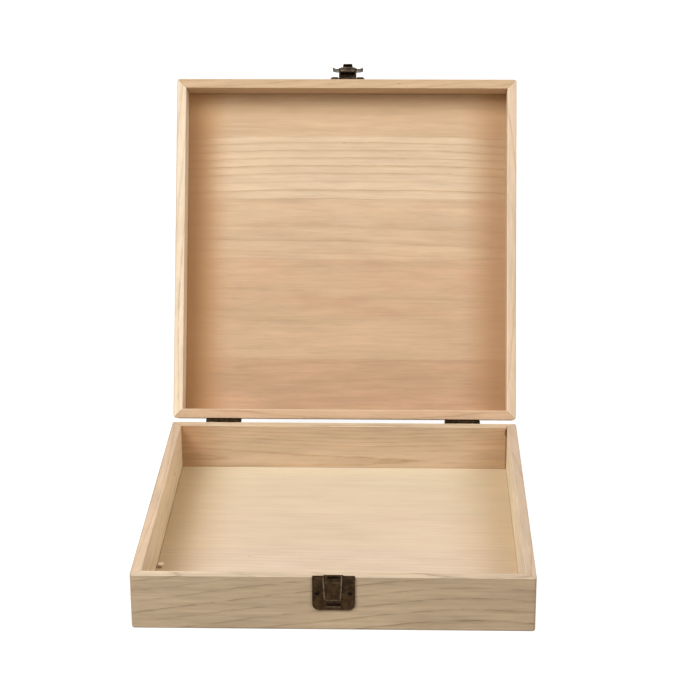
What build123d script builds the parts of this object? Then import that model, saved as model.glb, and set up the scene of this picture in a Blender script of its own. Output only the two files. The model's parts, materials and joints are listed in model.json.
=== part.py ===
from build123d import *
from math import radians, tan
import os

# A square wooden box with a hinged lid and a front clasp, in millimetres.
# Every piece is first built with the box closed: the origin is at the middle of the
# underside, the front faces -Y and +Z is up. The lid and the clasp lever are then turned
# to the open pose in which the box stands.

# Wooden box, outside sizes
box_width = 250.0
box_depth = 250.0
base_height = 36.5
lid_height = 27.0
rim_gap = 0.3  # air between the two rims when the lid is shut

# Boards and panels
board_thickness = 6.7
floor_thickness = 4.0
top_thickness = 4.0
rabbet_width = 3.4  # how far a panel reaches under the boards
panel_fit = 0.1  # gap round a panel in its rabbet
corner_round = 2.0
outer_edge_round = 1.5
rim_edge_round = 0.3

# Open pose
lid_open_angle = 113.2
lever_open_angle = 180.0

# Butt hinges on the back
hinge_length = 25.0
hinge_inset = 38.0  # from the box's side to the hinge's middle
hinge_row_shift = -1.0  # the pair sits a little left of the middle
hinge_axis_setback = 2.0  # from the back face to the pin's centre
hinge_leaf_reach = 10.0  # from the pin's centre to the leaf's far edge
hinge_leaf_thickness = 0.9
hinge_leaf_corner = 1.2
hinge_knuckle_radius = 1.9
hinge_knuckle_count = 5
hinge_knuckle_gap = 0.15
hinge_pin_radius = 0.7
hinge_pin_head_radius = 1.2
hinge_pin_head_height = 0.4
hinge_heel_reach = 3.6  # the stop heel, from the pin's centre
hinge_nail_spacing = 16.0
hinge_nail_height = 6.4  # from the pin's centre

# Round-head nails
nail_shank_radius = 0.55
nail_shank_length = 5.5
nail_point_length = 1.0
nail_head_radius = 1.4
nail_head_height = 0.7

# Clasp, shared by both halves; heights are from the base's rim, when shut
clasp_shift = 0.6  # sideways from the middle of the front
clasp_sheet = 1.0  # sheet metal thickness of both plates
clasp_plate_corner = 4.0
clasp_plate_nick = 0.8  # round on the corners at the joint

# Catch plate on the base
catch_width = 26.4
catch_height = 23.0
catch_top = 0.9
catch_nail_spacing = 20.0
catch_nail_depth = 10.7  # below the rim

# Keeper pressed out of the catch plate
keeper_top = 2.7
keeper_length = 18.4
keeper_top_width = 12.9
keeper_end_width = 10.8
keeper_rise = 2.9  # from the wood to its outer face
keeper_draft = 16.0  # degrees that its walls lean in
keeper_wall = 0.7
keeper_round = 1.4
keeper_edge_round = 0.3
keeper_rim_width = 0.8
keeper_rim_height = 0.3
keeper_brow = 5.3  # plain band above the sunk face
keeper_setback = 1.25  # the lid's plate passes behind the part above the rim

# Groove and rounded lip pressed in below the keeper
groove_width = 8.9
groove_height = 2.2
groove_depth = 0.7
groove_gap = 1.5  # between the keeper's end and the groove
lip_width = 8.2
lip_radius = 0.5
lip_gap = 0.5  # between the groove and the lip's centre

# Clasp plate on the lid
clasp_plate_width = 25.0
clasp_plate_bottom = 1.2
clasp_plate_top = 18.0
clasp_nail_spacing = 19.0
clasp_nail_height = 9.0
foot_width = 1.0  # of the ridge along the rim edge, on both sides of the keeper
foot_rise = 0.7
foot_clear = 0.5  # between the keeper and the ridge

# Ears that carry the clasp pin
ear_inner_gap = 10.8
ear_thickness = 1.0
ear_radius = 2.2
ear_length = 7.6  # along the plate, at its foot
ear_tip_length = 6.5  # along the plate, at its outer edge
ear_stop_gap = 0.05  # between the ears' edge and the open lever
ear_corner_round = 0.8
ear_web_thickness = 0.8  # of the web that joins the two ears

# Clasp pin
pivot_height = 5.1
pivot_out = 7.0
clasp_pin_radius = 0.8
clasp_pin_proud = 0.25

# Lever
running_fit = 0.05  # radial, between a pin and what turns on it
set_fit = 0.02  # radial, between a pin or nail and what holds it
side_fit = 0.2  # between the lever's barrel and the ears
lever_barrel_radius = 1.7
lever_sheet = 1.0
lever_offset = 1.6  # from the pin's centre to the lever's outer face
lever_heel = 1.0  # the sheet's length above the pin's centre
lever_reach = 13.5
lever_shoulder = 3.0  # where the sheet widens, below the pin
lever_flat_width = 12.9
lever_bill_width = 22.5
lever_bill_start = 6.6
lever_bill_end = 11.6
lever_cup_depth = 2.6  # how far the bill's sides reach back towards the wood
lever_tip_flare = 0.6  # how far the bill's tip stands out for the finger
lever_bead_radius = 0.5
lever_bead_length = 12.0
lever_bead_inset = 1.6  # from the tip to the bead's centre

# Claw under the lever, curved on the pin's centre
claw_radius = 5.9
claw_thickness = 0.7
claw_end_angle = 68.0  # from straight below the pin
claw_root_width = 8.0
claw_tip_width = 6.4
claw_fit = 0.15  # round the claw in the keeper's slot

# Worked out from the sizes above
inner_width = box_width - 2 * board_thickness
inner_depth = box_depth - 2 * board_thickness
hinge_spacing = box_width - 2 * hinge_inset
lid_bottom = base_height + rim_gap
hinge_axis_y = box_depth / 2 + hinge_axis_setback
hinge_axis_z = base_height + rim_gap / 2
knuckle_pitch = hinge_length / hinge_knuckle_count
keeper_bottom = keeper_top - keeper_length
catch_bottom = catch_top - catch_height
groove_middle = keeper_bottom - groove_gap - groove_height / 2
lip_middle = groove_middle - groove_height / 2 - lip_gap
ear_outer_width = ear_inner_gap + 2 * ear_thickness
ear_foot = pivot_height - ear_radius
ear_edge = pivot_out + lever_offset - ear_stop_gap

# Directions: x across, y up, z out of the wood, from the rim of the base
front = Plane(origin=(clasp_shift, -box_depth / 2, base_height), x_dir=(1, 0, 0), z_dir=(0, -1, 0))


def hinge_plane(side):
    x = hinge_row_shift + side * hinge_spacing / 2
    return Plane(origin=(x, box_depth / 2, hinge_axis_z), x_dir=(-1, 0, 0), z_dir=(0, 1, 0))


def single(shape):
    return shape.solids()[0]


# Wooden frames


def corner_point(side_x, side_y, inset):
    return (side_x * (box_width / 2 - inset), side_y * (box_depth / 2 - inset))


board_corners = {
    "front": ((-1, -1), (1, -1)),
    "right": ((1, -1), (1, 1)),
    "back": ((1, 1), (-1, 1)),
    "left": ((-1, 1), (-1, -1)),
}


def frame_ring(height, panel_thickness, outer_end):
    # outer_end is -1 for the underside of the base and 1 for the top of the lid
    ring = extrude(Rectangle(box_width, box_depth), height)
    ring = fillet(ring.edges().filter_by(Axis.Z), corner_round)
    end_face = ring.faces().filter_by(Axis.Z).sort_by(Axis.Z)[-1 if outer_end > 0 else 0]
    ring = fillet(end_face.edges(), outer_edge_round)
    ring -= extrude(Rectangle(inner_width, inner_depth), height)
    rim_face = ring.faces().filter_by(Axis.Z).sort_by(Axis.Z)[0 if outer_end > 0 else -1]
    ring = fillet(rim_face.edges(), rim_edge_round)
    rabbet = Rectangle(inner_width + 2 * rabbet_width, inner_depth + 2 * rabbet_width)
    rabbet_z = height - panel_thickness if outer_end > 0 else 0
    return ring - Pos(0, 0, rabbet_z) * extrude(rabbet, panel_thickness)


def mitred_board(ring, side, height):
    start, end = board_corners[side]
    outline = Polygon(
        corner_point(*start, 0),
        corner_point(*end, 0),
        corner_point(*end, board_thickness),
        corner_point(*start, board_thickness),
        align=None,
    )
    return single(ring & extrude(outline, height))


def panel(thickness):
    reach = 2 * (rabbet_width - panel_fit)
    return extrude(Rectangle(inner_width + reach, inner_depth + reach), thickness)


# Nails


def nail():
    # Head outside, along +Z from the face it sits on
    crown = TangentArc((0, nail_head_height), (nail_head_radius, 0), tangent=(1, 0))
    shank_end = -nail_shank_length
    rest = Polyline(
        (nail_head_radius, 0),
        (nail_shank_radius, 0),
        (nail_shank_radius, shank_end + nail_point_length),
        (0, shank_end),
        (0, nail_head_height),
    )
    return revolve(Plane.XZ * make_face([crown, rest]), Axis.Z)


def nail_hole():
    depth = nail_shank_length
    return Pos(0, 0, -depth) * extrude(Circle(nail_shank_radius + set_fit), depth)


def nail_pair(plane, spacing, height, sheet):
    spots = [Pos(side * spacing / 2, height, sheet) for side in (-1, 1)]
    return [plane.location * spot * nail() for spot in spots]


def nail_pair_holes(plane, spacing, height, sheet):
    spots = [Pos(side * spacing / 2, height, sheet) for side in (-1, 1)]
    return [plane.location * spot * nail_hole() for spot in spots]


# Hinges, in the hinge plane: x along the pin, y up from it, z out of the wood


def knuckle_span(index):
    start = -hinge_length / 2 + index * knuckle_pitch
    low = start + (hinge_knuckle_gap / 2 if index > 0 else 0)
    high = start + knuckle_pitch
    if index < hinge_knuckle_count - 1:
        high -= hinge_knuckle_gap / 2
    return low, high


def knuckle(index, bore_radius, direction, heel):
    low, high = knuckle_span(index)
    root = hinge_knuckle_radius + hinge_knuckle_gap
    profile = Pos(0, hinge_axis_setback) * Circle(hinge_knuckle_radius)
    profile += Pos(direction * root / 2, hinge_leaf_thickness / 2) * Rectangle(root, hinge_leaf_thickness)
    if heel:
        profile += heel_profile()
    profile -= Pos(0, hinge_axis_setback) * Circle(bore_radius)
    return Pos(low, 0, 0) * extrude(Plane.YZ * profile, high - low)


def heel_profile():
    # Flat against the lower leaf when the lid is open, so it is drawn there and turned back
    clear = hinge_leaf_thickness + running_fit
    flat = Pos(-hinge_heel_reach / 2, clear + hinge_leaf_thickness / 2) * Rectangle(
        hinge_heel_reach, hinge_leaf_thickness
    )
    centre = Pos(0, hinge_axis_setback)
    return centre * Rot(Z=-lid_open_angle) * centre.inverse() * flat


def hinge_leaf(direction, bore_radius, knuckles, heel):
    # direction is 1 for the leaf above the pin and -1 for the one below
    root = hinge_knuckle_radius + hinge_knuckle_gap
    height = hinge_leaf_reach - root
    plate = Pos(0, direction * (root + height / 2)) * Rectangle(hinge_length, height)
    corners = plate.vertices().sort_by(Axis.Y)
    plate = fillet(corners[-2:] if direction > 0 else corners[:2], hinge_leaf_corner)
    leaf = extrude(plate, hinge_leaf_thickness)
    for index in knuckles:
        leaf += knuckle(index, bore_radius, direction, heel)
    for side in (-1, 1):
        hole = Pos(side * hinge_nail_spacing / 2, direction * hinge_nail_height)
        leaf -= hole * extrude(Circle(nail_shank_radius + set_fit), hinge_leaf_thickness)
    return leaf


def hinge_pin():
    half = hinge_length / 2
    pin = Circle(hinge_pin_radius)
    head = Circle(hinge_pin_head_radius)
    rod = extrude(pin, half, both=True)
    for side in (-1, 1):
        cap = extrude(head, hinge_pin_head_height)
        outer = cap.faces().sort_by(Axis.Z)[-1].edges()
        cap = fillet(outer, hinge_pin_head_height * 0.9)
        rod += Rot(X=0 if side > 0 else 180) * Pos(0, 0, half) * cap
    return Pos(0, 0, hinge_axis_setback) * Rot(Y=90) * rod


# Clasp, in the front plane: x across, y up from the base's rim, z out of the wood


def rounded_plate(width, bottom, top, rounded_end):
    outline = Pos(0, (bottom + top) / 2) * Rectangle(width, top - bottom)
    corners = outline.vertices().sort_by(Axis.Y)
    outline = fillet(corners[-2:] if rounded_end > 0 else corners[:2], clasp_plate_corner)
    corners = outline.vertices().sort_by(Axis.Y)
    return fillet(corners[:2] if rounded_end > 0 else corners[-2:], clasp_plate_nick)


def keeper_outline(inset, top):
    slope = (keeper_top_width - keeper_end_width) / 2 / keeper_length
    bottom = keeper_bottom + inset
    half_top = keeper_top_width / 2 - inset - slope * (keeper_top - top)
    half_bottom = keeper_end_width / 2 - inset + slope * inset
    outline = Polygon(
        (-half_top, top), (-half_bottom, bottom), (half_bottom, bottom), (half_top, top), align=None
    )
    return fillet(outline.vertices().sort_by(Axis.Y)[:2], keeper_round)


def keeper_block(inset, height):
    # Drawn past its open end and cut off there
    top = keeper_top + keeper_rise
    block = extrude(keeper_outline(inset, top), height, taper=keeper_draft)
    return block - Pos(0, keeper_top + top / 2, 0) * Box(catch_width, top, 3 * keeper_rise)


def claw_slot():
    # The claw's own curve round the pin, with a little air all round
    half = claw_thickness / 2 + claw_fit
    ring = Circle(claw_radius + half) - Circle(claw_radius - half)
    width = claw_width_at(keeper_rise) + 2 * claw_fit
    return Pos(0, pivot_height, pivot_out) * extrude(Plane.YZ * ring, width / 2, both=True)


def catch_plate():
    keeper = keeper_block(0, keeper_rise)
    keeper = fillet(keeper.faces().sort_by(Axis.Z)[-1].edges(), keeper_edge_round)
    keeper -= keeper_block(keeper_wall, keeper_rise - keeper_wall)
    plate = extrude(rounded_plate(catch_width, catch_bottom, catch_top, -1), clasp_sheet) + keeper
    inset = keeper_rim_width + keeper_rise * tan(radians(keeper_draft))
    sunk = extrude(keeper_outline(inset, keeper_top - keeper_brow), keeper_rim_height)
    plate -= Pos(0, 0, keeper_rise - keeper_rim_height) * sunk
    plate -= claw_slot()
    above_rim = Pos(0, catch_top + keeper_top, keeper_setback / 2)
    plate -= above_rim * Box(catch_width, 2 * keeper_top, keeper_setback)
    groove = RectangleRounded(groove_width, groove_height, groove_height * 0.4)
    plate -= Pos(0, groove_middle, clasp_sheet - groove_depth) * extrude(groove, groove_depth)
    lip = Pos(0, lip_middle, clasp_sheet) * Rot(Y=90)
    plate += lip * extrude(Circle(lip_radius), lip_width / 2, both=True)
    return drill_pair(plate, catch_nail_spacing, -catch_nail_depth)


def drill_pair(plate, spacing, height):
    for side in (-1, 1):
        hole = Pos(side * spacing / 2, height)
        plate -= hole * extrude(Circle(nail_shank_radius + set_fit), clasp_sheet)
    return plate


def ear_profile():
    # Drawn as height from the rim across, distance from the wood up
    outline = Polygon(
        (ear_foot, 0),
        (ear_foot + ear_length, 0),
        (ear_foot + ear_tip_length, ear_edge),
        (pivot_height, ear_edge),
        (ear_foot, pivot_out),
        align=None,
    )
    far_corner = outline.vertices().sort_by(Axis.Y)[-2:].sort_by(Axis.X)[-1]
    outline = fillet(far_corner, ear_corner_round)
    boss = Pos(pivot_height, pivot_out)
    outline += boss * Circle(ear_radius)
    return outline - boss * Circle(clasp_pin_radius + set_fit)


def ear_web():
    # Drawn like the ears, along their far edge and short of the open lever
    foot = ear_foot + ear_length
    tip = ear_foot + ear_tip_length
    top = ear_edge - ear_corner_round
    outline = Polygon(
        (foot - ear_web_thickness, 0), (foot, 0), (tip, top), (tip - ear_web_thickness, top), align=None
    )
    return extrude(Plane.YZ * outline, ear_inner_gap / 2, both=True)


def foot_ridge(side):
    start = keeper_top_width / 2 + foot_clear
    end = clasp_plate_width / 2 - clasp_plate_nick
    ridge = Rectangle(end - start, foot_width)
    spot = Pos(side * (start + end) / 2, clasp_plate_bottom + foot_width / 2, 0)
    return spot * extrude(ridge, clasp_sheet + foot_rise)


def clasp_plate():
    outline = rounded_plate(clasp_plate_width, clasp_plate_bottom, clasp_plate_top, 1)
    plate = drill_pair(extrude(outline, clasp_sheet), clasp_nail_spacing, clasp_nail_height)
    for side in (-1, 1):
        middle = side * (ear_inner_gap + ear_thickness) / 2
        ear = extrude(Plane.YZ * ear_profile(), ear_thickness / 2, both=True)
        plate += Pos(middle, 0, 0) * ear
        plate += foot_ridge(side)
    return plate + ear_web()


def clasp_pin():
    half = ear_outer_width / 2 + clasp_pin_proud
    rod = extrude(Circle(clasp_pin_radius), half, both=True)
    ends = rod.edges().filter_by(GeomType.CIRCLE)
    rod = fillet(ends, clasp_pin_proud)
    return Pos(0, pivot_height, pivot_out) * Rot(Y=90) * rod


def claw_width_at(distance_out):
    root = pivot_out - lever_offset - lever_sheet
    tip = pivot_out - claw_radius
    share = (root - distance_out) / (root - tip)
    return claw_root_width + (claw_tip_width - claw_root_width) * share


def lever_plan():
    # Seen from the front, with the pin's centre as origin
    barrel_half = ear_inner_gap / 2 - side_fit
    flat_half = lever_flat_width / 2
    bill_half = lever_bill_width / 2
    side = Polyline(
        (0, lever_heel),
        (barrel_half, lever_heel),
        (barrel_half, -lever_shoulder),
        (flat_half, -lever_shoulder),
    )
    wing = TangentArc((flat_half, -lever_shoulder), (bill_half, -lever_bill_start), tangent=(0, -1))
    edge = Line((bill_half, -lever_bill_start), (bill_half, -lever_bill_end))
    tip = ThreePointArc(
        (bill_half, -lever_bill_end),
        (bill_half * 0.55, -(lever_reach + lever_bill_end * 0.35) / 1.35),
        (0, -lever_reach),
    )
    spine = Line((0, -lever_reach), (0, lever_heel))
    half = make_face([side, wing, edge, tip, spine])
    return half + mirror(half, Plane.YZ)


def bill_section(height, cup, flare):
    # Seen along the lever: flat in the middle, with both sides swept back towards the wood
    half = lever_flat_width / 2
    tip = lever_bill_width / 2
    bend = half + (tip - half) * 0.4
    outer = flare - lever_offset
    inner = outer - lever_sheet
    side = make_face(
        [
            Line((0, outer), (half, outer)),
            Bezier((half, outer), (bend, outer), (tip, outer - cup)),
            Line((tip, outer - cup), (tip, inner - cup)),
            Bezier((tip, inner - cup), (bend, inner), (half, inner)),
            Line((half, inner), (0, inner)),
            Line((0, inner), (0, outer)),
        ]
    )
    plane = Plane(origin=(0, height, 0), x_dir=(1, 0, 0), z_dir=(0, -1, 0))
    return plane * side


def lever_sheet_half():
    # Flat down to the shoulder, then a bill that is cupped at its root and flat at its tip
    root = bill_section(lever_heel, lever_cup_depth, 0)
    shoulder = bill_section(-lever_shoulder, lever_cup_depth, 0)
    tip = bill_section(-lever_reach, 0, lever_tip_flare)
    half = loft([root, shoulder], ruled=True) + loft([shoulder, tip], ruled=True)
    plan = extrude(lever_plan(), 2 * lever_reach, both=True)
    return half & plan


def claw():
    # Height across and distance from the pin up, in the lever's own side view
    ring = Circle(claw_radius + claw_thickness / 2) - Circle(claw_radius - claw_thickness / 2)
    reach = 2 * claw_radius
    sheet_middle = -(lever_offset + lever_sheet / 2)
    below = Pos(-reach / 2, sheet_middle - reach / 2) * Rectangle(reach, reach)
    past_end = Rot(Z=claw_end_angle) * Pos(0, -reach) * Rectangle(2 * reach, 2 * reach)
    hook = extrude(Plane.YZ * (ring & below - past_end), claw_root_width, both=True)
    root = sheet_middle
    tip = -claw_radius
    taper = Polygon(
        (-claw_root_width / 2, root),
        (claw_root_width / 2, root),
        (claw_tip_width / 2, tip),
        (-claw_tip_width / 2, tip),
        align=None,
    )
    return hook & extrude(Plane.XZ * taper, 2 * claw_radius, both=True)


def clasp_lever():
    half = lever_sheet_half()
    sheet = half + mirror(half, Plane.YZ)
    barrel_half = ear_inner_gap / 2 - side_fit
    barrel = Rot(Y=90) * extrude(Circle(lever_barrel_radius), barrel_half, both=True)
    bead_flare = lever_tip_flare * (1 - lever_bead_inset / (lever_reach - lever_shoulder))
    bead_place = Pos(0, -(lever_reach - lever_bead_inset), bead_flare - lever_offset) * Rot(Y=90)
    bead = bead_place * extrude(Circle(lever_bead_radius), lever_bead_length / 2, both=True)
    bore = Rot(Y=90) * extrude(Circle(clasp_pin_radius + running_fit), ear_inner_gap, both=True)
    lever = sheet + barrel + bead + claw() - bore
    return Pos(0, pivot_height, pivot_out) * lever


# Open pose


def turned(shape, y, z, angle):
    return Pos(0, y, z) * Rot(X=angle) * Pos(0, -y, -z) * shape


def open_lid(shape):
    return turned(shape, hinge_axis_y, hinge_axis_z, -lid_open_angle)


def open_lever(shape):
    pivot_y = -box_depth / 2 - pivot_out
    pivot_z = base_height + pivot_height
    return open_lid(turned(shape, pivot_y, pivot_z, -lever_open_angle))


# Nodes


def wooden_nodes():
    nodes = {}
    base_ring = frame_ring(base_height, floor_thickness, -1)
    lid_ring = Pos(0, 0, lid_bottom) * frame_ring(lid_height, top_thickness, 1)
    for side in board_corners:
        nodes["base_" + side] = mitred_board(base_ring, side, base_height)
        nodes["lid_" + side] = mitred_board(lid_ring, side, lid_bottom + lid_height)
    nodes["base_floor"] = panel(floor_thickness)
    nodes["lid_top"] = Pos(0, 0, lid_bottom + lid_height - top_thickness) * panel(top_thickness)
    return nodes


def clasp_nodes(nodes):
    spots = {
        "base_front": (catch_nail_spacing, -catch_nail_depth, "catch_nails"),
        "lid_front": (clasp_nail_spacing, clasp_nail_height, "clasp_nails"),
    }
    for board, (spacing, height, name) in spots.items():
        nodes[name] = Compound(nail_pair(front, spacing, height, clasp_sheet))
        for hole in nail_pair_holes(front, spacing, height, clasp_sheet):
            nodes[board] -= hole
    nodes["catch_plate"] = front.location * catch_plate()
    nodes["clasp_plate"] = front.location * clasp_plate()
    nodes["clasp_pin"] = front.location * clasp_pin()
    nodes["clasp_lever"] = front.location * clasp_lever()


def hinge_nodes(nodes):
    base_knuckles = range(0, hinge_knuckle_count, 2)
    lid_knuckles = range(1, hinge_knuckle_count, 2)
    held = hinge_pin_radius + set_fit
    running = hinge_pin_radius + running_fit
    leaves = {"base": (-1, held, base_knuckles, False), "lid": (1, running, lid_knuckles, True)}
    for name, side in (("left", -1), ("right", 1)):
        place = hinge_plane(side)
        nodes[f"hinge_{name}_pin"] = place.location * hinge_pin()
        for half, (direction, bore, knuckles, heel) in leaves.items():
            leaf = hinge_leaf(direction, bore, knuckles, heel)
            nodes[f"hinge_{name}_{half}_leaf"] = place.location * leaf
            height = direction * hinge_nail_height
            nails = nail_pair(place, hinge_nail_spacing, height, hinge_leaf_thickness)
            nodes[f"hinge_{name}_{half}_nails"] = Compound(nails)
            for hole in nail_pair_holes(place, hinge_nail_spacing, height, hinge_leaf_thickness):
                nodes[half + "_back"] -= hole


def build_nodes():
    nodes = wooden_nodes()
    clasp_nodes(nodes)
    hinge_nodes(nodes)
    on_lid = ("clasp_plate", "clasp_nails", "clasp_pin")
    for name in nodes:
        if name == "clasp_lever":
            nodes[name] = open_lever(nodes[name])
        elif name in on_lid or name.startswith("lid_") or "_lid_" in name:
            nodes[name] = open_lid(nodes[name])
    return nodes


os.makedirs("parts", exist_ok=True)
for node_name, node_shape in build_nodes().items():
    export_step(node_shape, f"parts/{node_name}.step")
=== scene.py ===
import json
from math import radians

import bmesh
import bpy
from mathutils import Matrix, Vector


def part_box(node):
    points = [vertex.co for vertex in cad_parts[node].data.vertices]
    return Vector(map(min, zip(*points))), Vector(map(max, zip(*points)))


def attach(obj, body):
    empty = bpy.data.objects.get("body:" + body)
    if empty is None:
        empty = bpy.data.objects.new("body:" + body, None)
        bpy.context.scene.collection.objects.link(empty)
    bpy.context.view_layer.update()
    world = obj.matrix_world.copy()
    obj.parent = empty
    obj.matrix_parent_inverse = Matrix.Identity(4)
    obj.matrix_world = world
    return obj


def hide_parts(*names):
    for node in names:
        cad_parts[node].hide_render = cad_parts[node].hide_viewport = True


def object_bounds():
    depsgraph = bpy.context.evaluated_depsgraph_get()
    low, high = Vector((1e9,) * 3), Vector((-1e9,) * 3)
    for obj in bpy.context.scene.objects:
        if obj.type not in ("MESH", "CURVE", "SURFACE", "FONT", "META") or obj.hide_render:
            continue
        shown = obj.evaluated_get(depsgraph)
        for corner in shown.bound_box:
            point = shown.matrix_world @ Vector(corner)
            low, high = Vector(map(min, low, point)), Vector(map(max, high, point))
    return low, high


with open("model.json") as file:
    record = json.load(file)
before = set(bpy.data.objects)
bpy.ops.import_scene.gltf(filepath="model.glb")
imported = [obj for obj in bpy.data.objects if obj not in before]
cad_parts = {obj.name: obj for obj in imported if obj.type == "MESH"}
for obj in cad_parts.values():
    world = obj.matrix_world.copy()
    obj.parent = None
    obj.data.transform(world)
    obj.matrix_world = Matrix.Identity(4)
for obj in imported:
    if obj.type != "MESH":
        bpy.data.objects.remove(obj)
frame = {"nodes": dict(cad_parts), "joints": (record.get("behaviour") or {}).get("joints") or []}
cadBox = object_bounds()
print("frame loaded:", len(frame["nodes"]), "nodes")


# Small helpers for shader trees

def paint(red, green, blue):
    # A colour as a screen shows it, 0 to 255, turned into the linear values a shader takes
    shares = [value / 255 for value in (red, green, blue)]
    return tuple(s / 12.92 if s <= 0.04045 else ((s + 0.055) / 1.055) ** 2.4 for s in shares) + (1.0,)


def addNode(tree, kind, **settings):
    node = tree.nodes.new(kind)
    for name, value in settings.items():
        setattr(node, name, value)
    return node


def feed(tree, socket, value):
    # Another node's output is linked, anything else is typed in
    if isinstance(value, bpy.types.NodeSocket):
        tree.links.new(value, socket)
    else:
        socket.default_value = value


def calc(tree, operation, *terms, clamp=False):
    node = addNode(tree, "ShaderNodeMath", operation=operation, use_clamp=clamp)
    for socket, term in zip(node.inputs, terms):
        feed(tree, socket, term)
    return node.outputs[0]


def stretch(tree, vector, scales):
    node = addNode(tree, "ShaderNodeVectorMath", operation="MULTIPLY")
    feed(tree, node.inputs[0], vector)
    node.inputs[1].default_value = scales
    return node.outputs[0]


def noise(tree, vector, scales, detail=2.0, roughness=0.5):
    node = addNode(tree, "ShaderNodeTexNoise")
    feed(tree, node.inputs["Vector"], stretch(tree, vector, scales))
    node.inputs["Scale"].default_value = 1.0
    node.inputs["Detail"].default_value = detail
    node.inputs["Roughness"].default_value = roughness
    return node.outputs[0]


def fit(tree, value, fromLow, fromHigh, toLow=0.0, toHigh=1.0, shape="SMOOTHSTEP"):
    node = addNode(tree, "ShaderNodeMapRange", interpolation_type=shape, clamp=True)
    for socket, term in zip(node.inputs, (value, fromLow, fromHigh, toLow, toHigh)):
        feed(tree, socket, term)
    return node.outputs[0]


def mixColour(tree, share, first, second, blend="MIX"):
    node = addNode(tree, "ShaderNodeMix", data_type="RGBA", blend_type=blend)
    feed(tree, node.inputs[0], share)
    feed(tree, node.inputs[6], first)
    feed(tree, node.inputs[7], second)
    return node.outputs[2]


def ramp(tree, value, stops, shape="LINEAR"):
    # Gives the ramp's colour and its alpha
    node = addNode(tree, "ShaderNodeValToRGB")
    node.color_ramp.interpolation = shape
    for i, (place, colour) in enumerate(stops):
        stop = node.color_ramp.elements[i] if i < 2 else node.color_ramp.elements.new(place)
        stop.position = place
        stop.color = colour if isinstance(colour, tuple) else (colour, colour, colour, 1.0)
    feed(tree, node.inputs[0], value)
    return node.outputs


def split(tree, vector):
    node = addNode(tree, "ShaderNodeSeparateXYZ")
    feed(tree, node.inputs[0], vector)
    return node.outputs


def splitColour(tree, colour):
    node = addNode(tree, "ShaderNodeSeparateColor")
    feed(tree, node.inputs[0], colour)
    return node.outputs


def mapped(tree, vector, matrix):
    node = addNode(tree, "ShaderNodeMapping", vector_type="POINT")
    node.inputs["Location"].default_value = matrix.to_translation()
    node.inputs["Rotation"].default_value = matrix.to_euler("XYZ")
    feed(tree, node.inputs["Vector"], vector)
    return node.outputs[0]


def makeGroup(name, inputs, outputs):
    group = bpy.data.node_groups.new(name, "ShaderNodeTree")
    for label, kind, value in inputs:
        socket = group.interface.new_socket(label, in_out="INPUT", socket_type=kind)
        if value is not None:
            socket.default_value = value
    for label in outputs:
        group.interface.new_socket(label, in_out="OUTPUT", socket_type="NodeSocketFloat")
    return group, group.nodes.new("NodeGroupInput").outputs, group.nodes.new("NodeGroupOutput").inputs


def useGroup(tree, group, **values):
    # Input names are given without their spaces
    node = addNode(tree, "ShaderNodeGroup", node_tree=group)
    for socket in node.inputs:
        if socket.name.replace(" ", "") in values:
            feed(tree, socket, values[socket.name.replace(" ", "")])
    return node.outputs


def newMaterial(name):
    material = bpy.data.materials.new(name)
    material.use_nodes = True
    tree = material.node_tree
    tree.nodes.clear()
    shader = addNode(tree, "ShaderNodeBsdfPrincipled")
    out = addNode(tree, "ShaderNodeOutputMaterial")
    tree.links.new(shader.outputs[0], out.inputs[0])
    coords = addNode(tree, "ShaderNodeTexCoord").outputs["Object"]
    return material, tree, shader, coords


def addBump(tree, shader, height, strength, distance):
    bump = addNode(tree, "ShaderNodeBump")
    bump.inputs["Strength"].default_value = strength
    bump.inputs["Distance"].default_value = distance
    feed(tree, bump.inputs["Height"], height)
    tree.links.new(bump.outputs[0], shader.inputs["Normal"])


# Shared effects, as node groups. A log's own axes are x along the grain, with the pith at y = z = 0
# A noise is given as its patches to a metre along the three axes, how many finer layers it has, and how
# rough they are where that isn't 0.5. Ends are the values between which an effect grows or fades

floatSocket = "NodeSocketFloat"
vectorSocket = "NodeSocketVector"

ringShape = {
    "slow": ((8, 26, 26), 2.0),  # how whole rings stray, and how much of the ring's wander that is
    "slowShare": 2.0,
    "quick": ((48, 190, 190), 2.0),  # the same for their small wobble
    "quickShare": 0.5,
    "gaps": ((80, 480, 480), 2.0),  # where a line breaks off
    "gapEnds": (0.38, 0.6),
    # how dark a ring is, from its first wood to its last
    "growth": [(0.0, 0.3), (0.1, 0.04), (0.62, 0.05), (0.84, 0.35), (0.95, 1.0), (1.0, 0.3)],
}


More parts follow.
